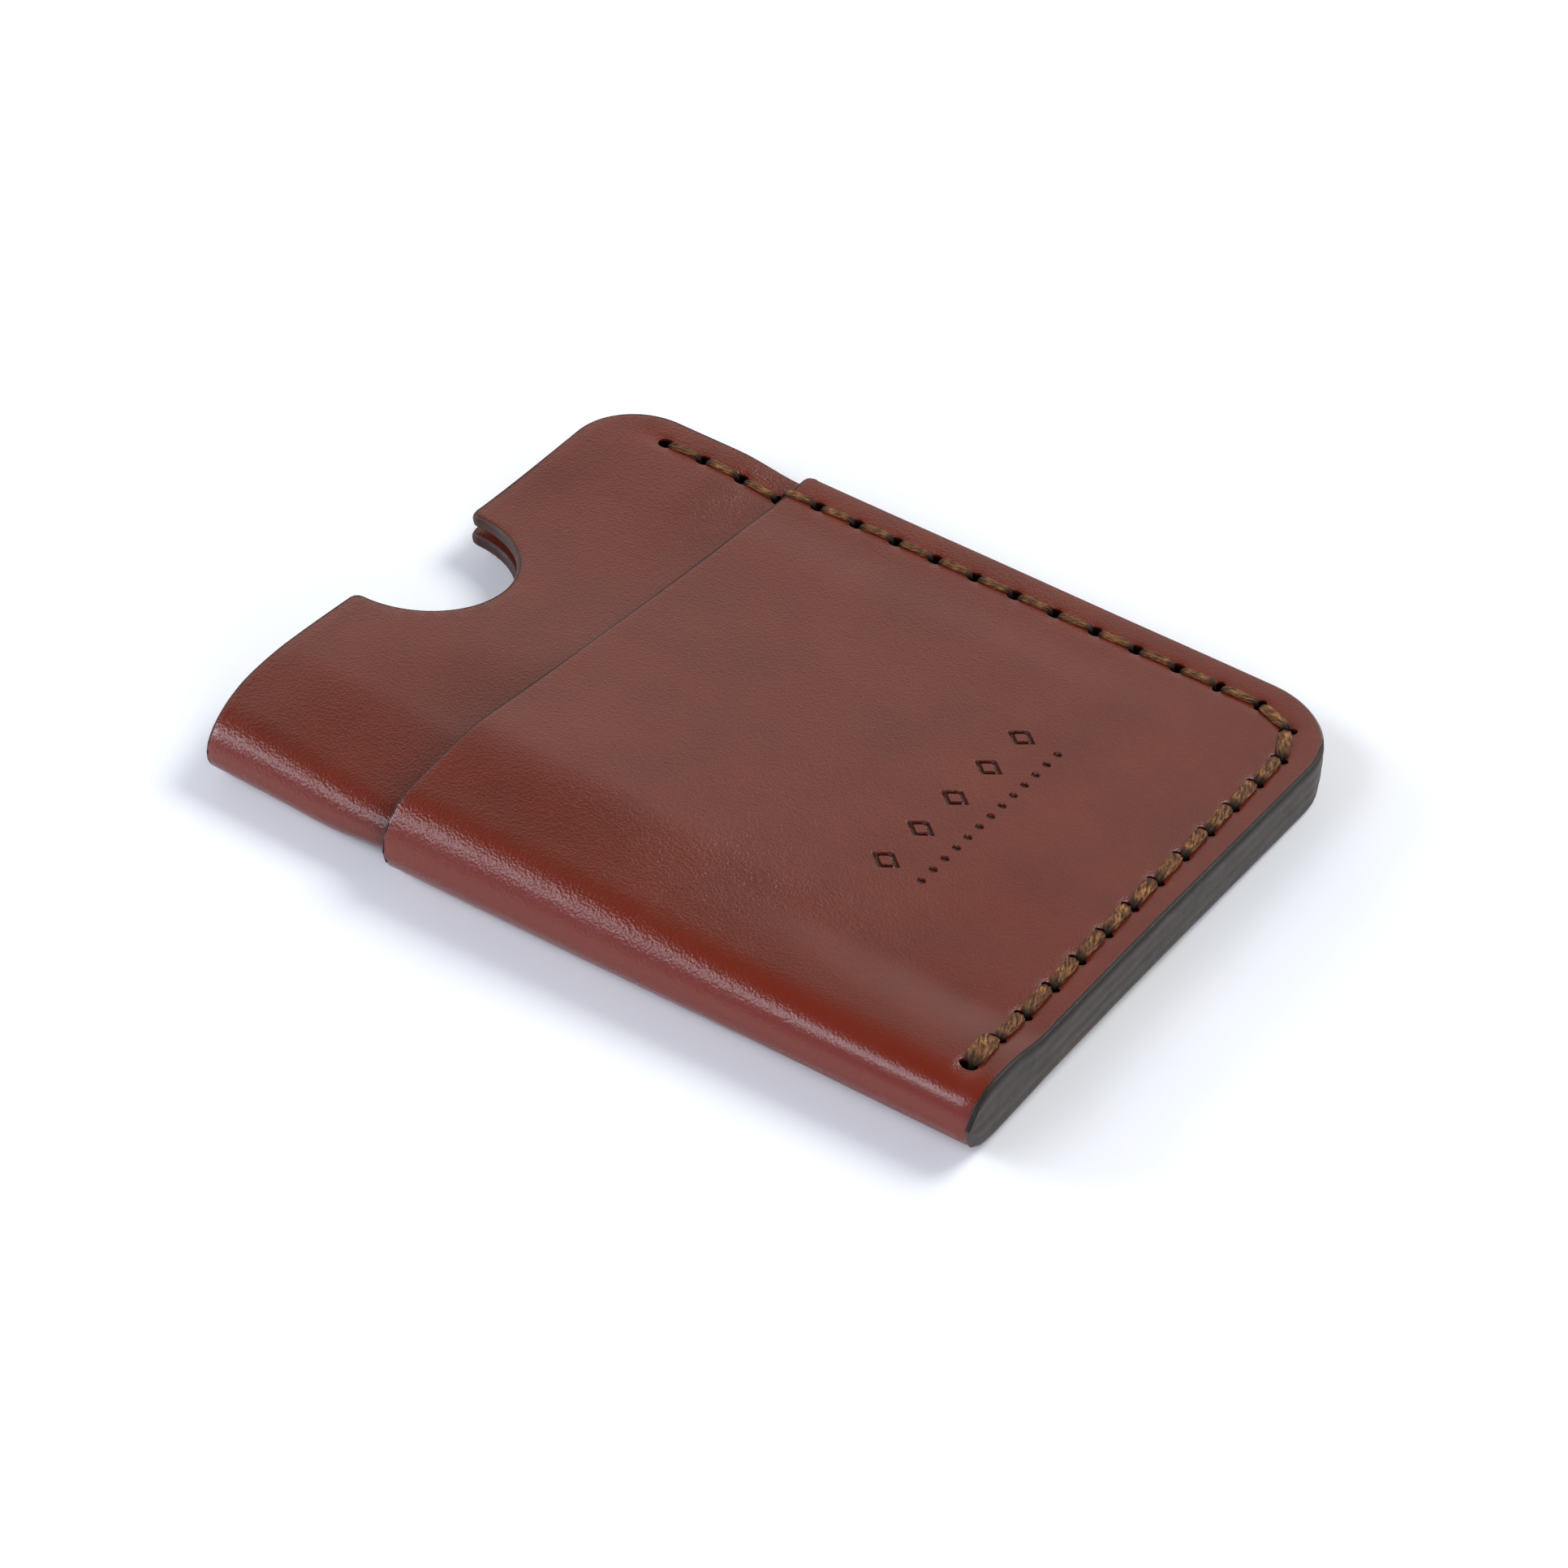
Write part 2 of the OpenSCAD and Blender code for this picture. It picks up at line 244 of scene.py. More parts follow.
class Folded:
    """Tables of one folded leather: place and outward direction over the pattern."""
    dx = 1.0
    dv = 0.2
    soften = 0.7
    xs = np.arange(-HALF_L - 3, HALF_L + 3, dx)
    vs = np.arange(-TOP_V - 6, TOP_V + 6, dv)

    def __init__(self, dips):
        rows = [section(x, self.vs, dips) for x in self.xs]
        reach = np.arange(-15, 16) * self.dv
        kernel = np.exp(-0.5 * (reach / self.soften) ** 2)
        kernel = kernel / kernel.sum()
        self.y = np.array([self.blur(r[0], kernel) for r in rows])
        self.z = np.array([self.blur(r[1], kernel) for r in rows])
        tangent = unit(np.stack([np.gradient(self.y, axis=1), np.gradient(self.z, axis=1)], -1))
        self.ny = -tangent[..., 1]
        self.nz = tangent[..., 0]

    @staticmethod
    def blur(row, kernel):
        pad = len(kernel) // 2
        ends = np.pad(row, pad, mode="reflect", reflect_type="odd")
        return np.convolve(ends, kernel, mode="valid")

    def read(self, table, x, v):
        i = np.clip((x - self.xs[0]) / self.dx, 0, len(self.xs) - 1.001)
        j = np.clip((v - self.vs[0]) / self.dv, 0, len(self.vs) - 1.001)
        i0 = i.astype(int)
        j0 = j.astype(int)
        a = mix(table[i0, j0], table[i0, j0 + 1], j - j0)
        b = mix(table[i0 + 1, j0], table[i0 + 1, j0 + 1], j - j0)
        return mix(a, b, i - i0)


SLEEVE_FOLD = Folded(1)
WRAP_FOLD = Folded(0)


def slot_room(x, v):
    """Extra room between the sleeve and the wrap's front, which lets a card slip in."""
    y = BLEND_Y + v - FOLD_V
    across = smooth(-33, -24, y) * (1 - smooth(MARGIN_Y - 8, MARGIN_Y, y))
    return SLOT * across * (1 - smooth(MARGIN_X - 22, MARGIN_X, x))


def surface(x, v, d, slot=False):
    """Points at pattern place (x, v), a distance d out from the pocket's inside. The slot is
    the room between the sleeve's front and the wrap's."""
    x, v, d = np.broadcast_arrays(np.asarray(x, float), np.asarray(v, float), np.asarray(d, float))
    fold = WRAP_FOLD if slot else SLEEVE_FOLD
    if slot:
        d = d + slot_room(x, v)
    y = fold.read(fold.y, x, v) + fold.read(fold.ny, x, v) * d
    z = fold.read(fold.z, x, v) + fold.read(fold.nz, x, v) * d
    return np.stack([x, y, z], -1)


def face_v(x, y, side, d):
    """Pattern coordinate where the front (side 1) or back (side -1), d out, passes width y."""
    low = np.zeros(np.shape(x))
    high = np.full(np.shape(x), TOP_V + 5.0)
    for _ in range(24):
        middle = (low + high) / 2
        short = surface(x, side * middle, d)[..., 1] < y
        low = np.where(short, middle, low)
        high = np.where(short, high, middle)
    return side * low


def front_v(y):
    """Pattern coordinate of the front at width y. The back has the same, below zero."""
    return FOLD_V + y - BLEND_Y


# ---------------------------------------------------------------- outlines on the pattern

def rounded(corners, step=0.8, closed=True):
    """Points along an outline given as (x, v, corner radius)."""
    made = []
    n = len(corners)
    for i, (x, v, r) in enumerate(corners):
        here = np.array([x, v], float)
        if r == 0 or (not closed and i in (0, n - 1)):
            made.append(here[None])
            continue
        before = unit(np.array(corners[i - 1][:2], float) - here)
        after = unit(np.array(corners[(i + 1) % n][:2], float) - here)
        half = 0.5 * math.acos(np.clip(before @ after, -1, 1))
        centre = here + unit(before + after) * r / math.sin(half)
        start = here + before * r / math.tan(half) - centre
        end = here + after * r / math.tan(half) - centre
        turn = math.pi - 2 * half
        u = np.linspace(0, 1, max(4, round(turn * r / min(step, 0.5)) + 1))[:, None]
        arc = (np.sin((1 - u) * turn) * start + np.sin(u * turn) * end) / math.sin(turn)
        made.append(centre + arc)
    keys = np.vstack(made + ([made[0][:1]] if closed else []))
    line = [keys[:1]]
    for a, b in zip(keys[:-1], keys[1:]):
        length = np.linalg.norm(b - a)
        if length < 1e-6:
            continue
        u = np.arange(1, max(1, round(length / step)) + 1)[:, None] / max(1, round(length / step))
        line.append(mix(a, b, u))
    points = np.vstack(line)
    return points[:-1] if closed else points


def inward(loop, closed=True):
    """Unit vectors to the left of each point's direction of travel."""
    if closed:
        t = np.roll(loop, -1, axis=0) - np.roll(loop, 1, axis=0)
    else:
        t = np.gradient(loop, axis=0)
    return unit(np.stack([-t[:, 1], t[:, 0]], -1))


def recede(loop):
    """The sleeve's mouth draws back a little where it goes round the fold."""
    near_mouth = smooth(-HALF_L + 12, -HALF_L, loop[:, 0])
    back = MOUTH_RECEDES * np.exp(-(loop[:, 1] / RECEDE_WIDTH) ** 2) * near_mouth
    return loop + np.stack([back, 0 * back], -1)


def notch_corners(side):
    """The thumb notch on the front (side 1) or the back (side -1), in order of falling v."""
    bottom = NOTCH_DEPTH - HALF_L
    high = front_v(NOTCH_R) if side > 0 else -front_v(-NOTCH_R)
    low = front_v(-NOTCH_R) if side > 0 else -front_v(NOTCH_R)
    return [(-HALF_L, high, NOTCH_CORNER_R), (bottom, high, NOTCH_R - 0.01),
            (bottom, low, NOTCH_R - 0.01), (-HALF_L, low, NOTCH_CORNER_R)]


def sleeve_outline():
    corners = [(-HALF_L, -TOP_V, MOUTH_R), (HALF_L, -TOP_V, END_R), (HALF_L, TOP_V, END_R),
               (-HALF_L, TOP_V, MOUTH_R)]
    return recede(rounded(corners + notch_corners(1) + notch_corners(-1)))


def wrap_outline():
    return rounded([(WRAP_MOUTH, -TOP_V, WRAP_CORNER_R), (HALF_L, -TOP_V, END_R),
                    (HALF_L, TOP_V, END_R), (WRAP_MOUTH, TOP_V, WRAP_CORNER_R)])


def path_point(k):
    """Place of stitch hole k in plan, and the direction of the seam there."""
    s = (k - SIDE_HOLES) * PITCH
    corner = np.array([PATH_X - PATH_R, PATH_Y - PATH_R])
    turn = math.pi / 2 * PATH_R
    if s <= 0:
        return corner + [s, PATH_R], np.array([1.0, 0.0])
    if s < turn:
        a = s / PATH_R
        return (corner + PATH_R * np.array([math.sin(a), math.cos(a)]),
                np.array([math.cos(a), -math.sin(a)]))
    return corner + [PATH_R, turn - s], np.array([0.0, -1.0])


HOLE_PLACES = np.array([path_point(k)[0] for k in range(HOLES)])
SEAM_LINE = np.array([path_point(k)[0] for k in np.arange(-0.5, HOLES - 0.8, 0.05)])


def slit_loop(k, side, d):
    """A lens-shaped slit across the seam, as a clockwise loop on the pattern d out."""
    place, along = path_point(k)
    across = np.array([-along[1], along[0]])
    a = np.linspace(0, 2 * math.pi, 20, endpoint=False)
    width, length = SIDE_SLIT if k < SIDE_HOLES - 1 else SLIT
    loop = (place + along * (width / 2 * np.cos(a))[:, None]
            + across * (length / 2 * np.sin(a))[:, None])
    loop[:, 1] = face_v(loop[:, 0], loop[:, 1], side, d)
    return loop[::-1] if side > 0 else loop


def nearest(points, others):
    """Distance from each point to the nearest of some others."""
    best = np.full(len(points), 1e9)
    for start in range(0, len(others), 60):
        part = others[start:start + 60]
        away = np.linalg.norm(points[:, None] - part[None], axis=-1)
        best = np.minimum(best, away.min(axis=1))
    return best


def plan_of(x, v):
    """Plan place of pattern points."""
    return surface(x, v, LAYER)[..., :2]


def is_inside(points, loops):
    """True for points inside an odd number of the loops."""
    odd = np.zeros(len(points), bool)
    for loop in loops:
        a = loop
        b = np.roll(loop, -1, axis=0)
        for (ax, av), (bx, bv) in zip(a, b):
            crosses = (av > points[:, 1]) != (bv > points[:, 1])
            if av != bv:
                at = ax + (points[:, 1] - av) * (bx - ax) / (bv - av)
                odd ^= crosses & (points[:, 0] < at)
    return odd


# ---------------------------------------------------------------- the pressed ornament

STAMP_X = 21.0
STAMP_PITCH = 6.4
LOZENGE = (1.75, 1.5)
LOZENGE_HOLE = 0.5
DOT_X = 25.3
DOT_PITCH = 2.15
DOT_R = 0.48
STAMP_DEPTH = 0.3
STAMP_WALL = 0.12
LOZENGES = [(STAMP_X, STAMP_PITCH * i) for i in range(-2, 3)]
DOTS = [(DOT_X, DOT_PITCH * i) for i in range(-6, 7)]


def lozenge_loop(centre, scale):
    x, y = centre
    a, b = LOZENGE[0] * scale, LOZENGE[1] * scale
    return rounded([(x - a, front_v(y), 0.15), (x, front_v(y) - b, 0.15),
                    (x + a, front_v(y), 0.15), (x, front_v(y) + b, 0.15)], step=0.25)


def dot_loop(centre, r):
    a = np.linspace(0, 2 * math.pi, 14, endpoint=False)
    return np.stack([centre[0] + r * np.cos(a), front_v(centre[1]) + r * np.sin(a)], -1)


def stamp_lines():
    """Outlines that the pressed ornament's walls follow."""
    wall = STAMP_WALL / min(LOZENGE)
    lines = []
    for c in LOZENGES:
        lines += [lozenge_loop(c, s) for s in
                  (1, 1 - wall, LOZENGE_HOLE + wall, LOZENGE_HOLE)]
    for c in DOTS:
        lines += [dot_loop(c, r) for r in (DOT_R, DOT_R - STAMP_WALL)]
    return lines


def stamp_depth(x, v):
    """How far the pressed ornament is sunk at a pattern place, from 0 to 1."""
    y = BLEND_Y + v - FOLD_V
    wall = STAMP_WALL / min(LOZENGE)
    deep = np.zeros_like(x)
    for cx, cy in LOZENGES:
        q = np.abs(x - cx) / LOZENGE[0] + np.abs(y - cy) / LOZENGE[1]
        deep = np.maximum(deep, smooth(1, 1 - wall, q) * smooth(LOZENGE_HOLE, LOZENGE_HOLE + wall, q))
    for cx, cy in DOTS:
        deep = np.maximum(deep, smooth(DOT_R, DOT_R - STAMP_WALL, np.hypot(x - cx, y - cy)))
    return deep


# ---------------------------------------------------------------- meshes

def turn_outward(mesh):
    """Turn a closed mesh's faces round if they point inward."""
    work = bmesh.new()
    work.from_mesh(mesh)
    if work.calc_volume(signed=True) < 0:
        bmesh.ops.reverse_faces(work, faces=work.faces)
        work.to_mesh(mesh)
    work.free()
    mesh.validate()


def add_mesh(name, points, faces, material, attributes=None, sharp=55):
    """A piece of the object from points in millimetres, with float attributes per point."""
    mesh = bpy.data.meshes.new(name)
    mesh.from_pydata((np.asarray(points) * MM).tolist(), [], [list(map(int, f)) for f in faces])
    turn_outward(mesh)
    for key, values in (attributes or {}).items():
        layer = mesh.attributes.new(key, "FLOAT", "POINT")
        layer.data.foreach_set("value", np.asarray(values, np.float32))
    mesh.shade_smooth()
    mesh.set_sharp_from_angle(angle=math.radians(sharp))
    mesh.materials.append(material)
    piece = bpy.data.objects.new(name, mesh)
    bpy.context.scene.collection.objects.link(piece)
    return piece


def stand_for(piece, slot, *nodes):
    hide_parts(*nodes)
    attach(piece, "root")


LATTICE = 0.4
FINEST_REACH = 1.3
FINE_REACH = 3.5
TIGHT_FOLD_V = 12


def lattice(outline, fine):
    """Points inside an outline on nested grids: finest where fine(x, v) is near 0, and finer in
    the fold than on the flats."""
    low = np.ceil(outline.min(axis=0) / LATTICE)
    high = np.floor(outline.max(axis=0) / LATTICE) + 1
    i, j = np.meshgrid(np.arange(low[0], high[0]), np.arange(low[1], high[1]))
    i, j = i.ravel(), j.ravel()
    x, v = i * LATTICE, j * LATTICE
    away = fine(x, v)
    keep = away < FINEST_REACH
    keep |= (away < FINE_REACH) & (i % 2 == 0) & (j % 2 == 0)
    keep |= (i % 4 == 0) & (j % 4 == 0)
    keep |= (np.abs(v) < FOLD_V) & (i % 4 == 0) & (j % 2 == 0)
    keep |= (np.abs(v) < TIGHT_FOLD_V) & (i % 2 == 0)
    points = np.stack([x[keep], v[keep]], -1)
    return points[is_inside(points, [outline])]


def triangulate(outline, slits, lines, inner):
    """Triangles over an outline, without its slits, and the place of each loop's points."""
    clear = nearest(inner, np.vstack([outline] + slits + lines)) > 0.16
    inner = inner[clear & ~is_inside(inner, slits)] if slits else inner[clear]
    loops = [outline] + slits + lines
    points = np.vstack(loops + [inner])
    edges = []
    starts = []
    at = 0
    for loop in loops:
        n = len(loop)
        starts.append((at, n))
        edges += [(at + k, at + (k + 1) % n) for k in range(n)]
        at += n
    made, _, faces, origin, _, _ = geometry.delaunay_2d_cdt(
        [Vector(p) for p in points.tolist()], edges, [], 0, 1e-6)
    places = np.array([[p.x, p.y] for p in made])
    where = np.zeros(len(points), int)
    for new, old in enumerate(origin):
        for o in old:
            where[o] = new
    faces = np.array(faces)
    centres = places[faces].mean(axis=1)
    faces = faces[is_inside(centres, [outline] + slits)]
    return places, faces, [where[a:a + n] for a, n in starts[:1 + len(slits)]]


# How far inside the cut outline an edge starts to round, and the seam's groove and dimples
EDGE_START = 0.5
GROOVE_REACH = 1.25
DIMPLE = 0.16
DIMPLE_REACH = 0.95
WAVE = 0.03


def relief(x, v, stamped):
    """How far the leather's face stands out or in: along the seam, at slits and in the stamp,
    which only the wrap has. Under the wrap the sleeve has no groove."""
    plan = plan_of(x, v)
    seam = nearest(plan, SEAM_LINE)
    hole = nearest(plan, HOLE_PLACES)
    sunk = -np.where(v < 0, BACK_SINK, SINK) * np.exp(-(seam / GROOVE_REACH) ** 2)
    sunk = sunk - DIMPLE * np.exp(-(hole / DIMPLE_REACH) ** 2)
    if stamped:
        sunk = sunk - STAMP_DEPTH * stamp_depth(x, v)
    else:
        sunk = sunk * smooth(WRAP_MOUTH + 2, WRAP_MOUTH, x)
    wave = WAVE * np.sin(x * 0.23 + 1.1 * np.sin(v * 0.11)) * np.sin(v * 0.19 + 0.7)
    return sunk + wave * smooth(0, 6, seam)


def wrap_mouth_shade(points, d_out):
    """Painted shade on the sleeve beside the wrap's mouth, where the wrap's edge shades it: most near
    the fold.
    """
    if d_out > LAYER:
        return np.zeros(len(points))
    x, y = points[:, 0], points[:, 1]
    gap = np.maximum(WRAP_MOUTH - x, 0)
    reach = mix(0.9, 2.4, smooth(0, -25, y))
    shade_share = mix(0.25, 1, smooth(15, -25, y)) * np.exp(-gap / reach)
    return shade_share * (x < WRAP_MOUTH + 2)


def leather(name, outline, d_in, d_out, material, slot, stamped=False):
    """A folded sheet of leather with rounded edges and slits for the thread."""
    normals = inward(outline)
    domain = outline + normals * EDGE_START
    first_hole = WRAP_FIRST_HOLE if slot else 0
    middle = (d_in + d_out) / 2
    slits = [slit_loop(k, s, middle) for s in (1, -1) for k in range(first_hole, HOLES)]
    lines = stamp_lines() if stamped else []

    def fine(x, v):
        away = np.maximum(nearest(plan_of(x, v), SEAM_LINE) - 0.7, 0)
        if stamped:
            y = BLEND_Y + v - FOLD_V
            box = np.maximum(np.abs(x - 22.9) - 3.4, np.abs(y) - 15)
            away = np.minimum(away, np.maximum(box, 0) + 0.9)
        return away

    flat, faces, loops = triangulate(domain, slits, lines, lattice(domain, fine))
    x, v = flat[:, 0], flat[:, 1]
    bumps = relief(x, v, stamped)
    n = len(flat)
    outer = surface(x, v, d_out + bumps, slot)
    inner = surface(x, v, d_in, slot)
    rim = [(0.3, 0.05), (0.14, 0.17), (0.07, 0.4)]
    rim += [(inset, LEATHER - drop) for inset, drop in rim[::-1]]
    edge_bumps = relief(domain[:, 0], domain[:, 1], False)
    rings = []
    for inset, drop in rim:
        p = outline + normals * inset
        rings.append(surface(p[:, 0], p[:, 1], d_out - drop + edge_bumps * (drop < 0.5), slot))
    points = np.vstack([outer, inner] + rings)
    m = len(outline)
    ring_ids = [loops[0]] + [2 * n + k * m + np.arange(m) for k in range(len(rim))] + [loops[0] + n]
    made = faces.tolist() + (faces[:, ::-1] + n).tolist()
    for a, b in zip(ring_ids[:-1], ring_ids[1:]):
        made += np.stack([a, b, np.roll(b, -1), np.roll(a, -1)], -1).tolist()
    for loop in loops[1:]:
        a, b = loop, loop + n
        made += np.stack([a, b, np.roll(b, -1), np.roll(a, -1)], -1).tolist()
    ring_plan = np.vstack([outline] * len(rim))
    plan = plan_of(np.concatenate([x, x, ring_plan[:, 0]]), np.concatenate([v, v, ring_plan[:, 1]]))
    rim_away = np.concatenate([np.tile(nearest(flat, outline), 2), np.zeros(len(rim) * m)])
    pressed = np.zeros(len(points))
    if stamped:
        pressed[:n] = stamp_depth(x, v)
    depth = np.concatenate([np.zeros(n), np.ones(n), np.zeros(len(rim) * m)])
    attributes = {
        "depth": depth,
        # painted shade on the sleeve beside the wrap's mouth
        "wrap_mouth_shade": wrap_mouth_shade(points, d_out),
        "seam": nearest(plan, SEAM_LINE),
        "hole": nearest(plan, HOLE_PLACES),
        "rim": rim_away,
        "pressed": pressed,
        "turn": np.concatenate([v, v, ring_plan[:, 1]]),
        "grain": mix(1, 0.35, smooth(5, 38, points[:, 0])),
    }
    return add_mesh(name, points, made, material, attributes)


def swept(rings, closed_path=False):
    """Faces of a closed profile swept along a path, as points and faces. Rings are (n, m, 3)."""
    n, m = rings.shape[:2]
    index = np.arange(n * m).reshape(n, m)
    faces = []
    last = n if closed_path else n - 1
    for i in range(last):
        a = index[i]
        b = index[(i + 1) % n]
        faces += np.stack([a, b, np.roll(b, -1), np.roll(a, -1)], -1).tolist()
    if not closed_path:
        faces += [index[0].tolist(), index[-1][::-1].tolist()]
    return rings.reshape(-1, 3), faces


def bead(name, line, d_in, d_out, material, slot=False):
    """Paint over one leather's cut edge, along a line on the pattern, rolled onto both faces."""
    normals = inward(line, closed=False)
    t = d_out - d_in
    half = [(0.36, -0.16), (0.26, -0.02), (0.12, -0.13), (0.02, -0.3), (-0.04, -0.5)]
    profile = half + [(-0.06, -t / 2)] + [(inset, -t - h) for inset, h in half[::-1]]
    profile += [(0.5, 0.3 - t), (0.5, -0.3)]
    run = np.arange(len(line))
    wobble = 0.03 * np.sin(run * 0.83) * np.sin(run * 0.31)
    rings = []
    for inset, height in profile:
        p = line + normals * inset
        uneven = wobble if abs(inset) < 0.05 else 0
        rings.append(surface(p[:, 0], p[:, 1], d_out + height + uneven, slot))
    points, faces = swept(np.stack(rings, 1))
    return add_mesh(name, points, faces, material, {
        "along": np.repeat(run * 0.6, len(profile)),
        "across": np.tile([h for _, h in profile], len(line)),
        # back: painted shade on the back layer's edge, 0 on the front and 1 on the back
        "back": np.repeat(smooth(0, -8, line[:, 1]), len(profile))})


# The paint rolls less far over the faces on the long side, and starts lower there
SIDE_LIP = 0.2
SIDE_DROP = 0.3


def seam_profile():
    """Rows of the seam's painted face from top to bottom: share of the height, bulge, and
    layer. Every layer of leather bulges between the lines of cement."""
    first = [(0.25, 0.3), (0.42, 0.9), (0.6, 1), (0.8, 0.92), (0.97, 0.6)]
    middle = [(0.05, 0.3), (0.268, 0.9), (0.498, 1), (0.754, 0.92), (0.972, 0.6)]
    last = [(1 - share, swell) for share, swell in first[::-1]]
    bulges = (0.06, 0.12, 0.14, 0.1)
    stack = 4 * LEATHER + 3 * BOND
    rows = []
    for layer, shape in enumerate((first, middle, middle, last)):
        for share, swell in shape:
            rows.append(((layer * LAYER + share * LEATHER) / stack, bulges[layer] * swell, layer))
    return rows


def seam_coat(material):
    """Paint over all four layers, from the wrap's mouth round the corner to the fold."""
    line = rounded([(WRAP_MOUTH + WRAP_CORNER_R, TOP_V, 0), (HALF_L, TOP_V, END_R), (HALF_L, 0.02, 0)],
                   step=0.6, closed=False)
    normals = -inward(line, closed=False)
    count = len(line)
    along = np.concatenate([[0], np.cumsum(np.linalg.norm(np.diff(line, axis=0), axis=1))])
    shown = smooth(HALF_L - 3, HALF_L - 0.1, line[:, 0])
    lip_d = WRAP_OUT - SIDE_DROP * (1 - shown)
    top = surface(line[:, 0], line[:, 1], lip_d)
    low = surface(line[:, 0], -line[:, 1], lip_d)
    height = np.linalg.norm(top - low, axis=1)
    out = np.stack([-normals[:, 0], -normals[:, 1], 0 * along], -1)
    ripple = 0.05 * np.sin(along * 0.9) + 0.04 * np.sin(along * 2.3 + 1) * np.sin(along * 0.37)
    rings = []
    shade = []
    reach = mix(SIDE_LIP, 1, shown)[:, None]
    shoulder = [(0.6, -0.25), (0.48, 0.008), (0.33, 0), (0.18, -0.06), (0.06, -0.17)]
    for inset, lift in shoulder:
        p = line + normals * inset * reach
        rings.append(surface(p[:, 0], p[:, 1], lip_d + lift * reach[:, 0] ** 0.5))
        shade.append(0)
    for share, bulge, layer in seam_profile():
        swell = (bulge + 0.35 * ripple * math.sin(2 + layer * 1.7)) * np.clip(height / 6, 0, 1)
        rings.append(mix(top, low, share) + out * swell[:, None])
        shade.append(share * 4 * LAYER)
    for inset, lift in shoulder[::-1]:
        p = line + normals * inset * reach
        rings.append(surface(p[:, 0], -p[:, 1], lip_d + lift * reach[:, 0] ** 0.5))
        shade.append(4 * LAYER)
    points, faces = swept(np.stack(rings[::-1], 1))
    return add_mesh("edge_paint_seam", points, faces, material, {
        "along": np.repeat(along, len(rings)), "across": np.tile(shade[::-1], count)}, sharp=70)


# ---------------------------------------------------------------- thread

def outer_d(x):
    """Distance out of the face that a stitch lies on, which climbs the wrap's mouth."""
    return mix(LEATHER, WRAP_OUT, smooth(WRAP_MOUTH - 0.9, WRAP_MOUTH + 0.1, x))


def stitch_controls(k, face, offset=0.0, back=False):
    """Control points of one stitch from hole k to k + 1, or back: place, side vector, half
    width, half thickness, and how deep in the hole it is, from 0 to 1."""
    a = path_point(k)[0]
    b = path_point(k + 1)[0]
    if back:
        a, b = b, a
    length = np.linalg.norm(b - a)
    run = (b - a) / length
    side = np.array([-run[1], run[0]])
    loose = float(smooth(SIDE_HOLES - 2, SIDE_HOLES + 1, k))
    w = mix(TIGHT_W, THREAD_W, loose) / 2
    t = mix(TIGHT_T, THREAD_T, loose) / 2
    lay = mix(0.16, 0.3, loose)
    enter = mix(0.62, 0.32, loose)
    half = [(enter, -1.5, 0.3, 0.26, 1, 1), (enter, -0.6, 0.32, 0.26, 1, 1),
            (enter + 0.05, -0.15, 0.36, 0.26, 1, 1), (enter + 0.28, lay * 0.6, w * 0.85, t, 0.9, 0.75),
            (enter + 0.85, lay, w, t, 0.5, 0)]
    rows = half + [(length / 2, lay, w, t, 0, 0)]
    rows += [(length - s, h, rw * 0.9, rt, -slant, dark) for s, h, rw, rt, slant, dark in half[::-1]]
    s, h, ws, ts, slant, sunk = np.array(rows).T
    across = offset * smooth(0, 0.9, s) * (1 - smooth(length - 0.9, length, s))
    across = across - mix(TIGHT_SLANT, STITCH_SLANT, loose) * slant * face
    plan = a + run * s[:, None] + side * across[:, None]
    if face > 0:
        d = outer_d(plan[:, 0]) - SINK + h
    else:
        d = outer_d(plan[:, 0]) - BACK_SINK + BACK_FLAT * h
        ts = BACK_FLAT * ts
    v = face_v(plan[:, 0], plan[:, 1], face, d)
    place = surface(plan[:, 0], v, d)
    sides = np.tile([side[0], side[1], 0], (len(s), 1)) * (-1 if back else 1)
    return list(np.column_stack([place, sides, ws, ts, sunk]))


def spline(rows, step):
    """Points on a smooth curve through control rows, about step apart in the first three."""
    rows = np.array(rows)
    rows = np.vstack([2 * rows[0] - rows[1], rows, 2 * rows[-1] - rows[-2]])
    made = []
    for i in range(1, len(rows) - 2):
        p0, p1, p2, p3 = rows[i - 1:i + 3]
        n = max(1, round(np.linalg.norm(p2[:3] - p1[:3]) / step))
        u = np.arange(n)[:, None] / n
        made.append(0.5 * (2 * p1 + (p2 - p0) * u + (2 * p0 - 5 * p1 + 4 * p2 - p3) * u * u
                           + (3 * p1 - p0 - 3 * p2 + p3) * u ** 3))
    made.append(rows[-2][None])
    return np.vstack(made)


BRAID_SIDES = 28
BRAID_SQUARE = 0.88
BRAID_STEP = 3.0
BRAID_STRANDS = 6
BRAID_DEPTH = 0.12
LOCK_OFFSET = -0.34


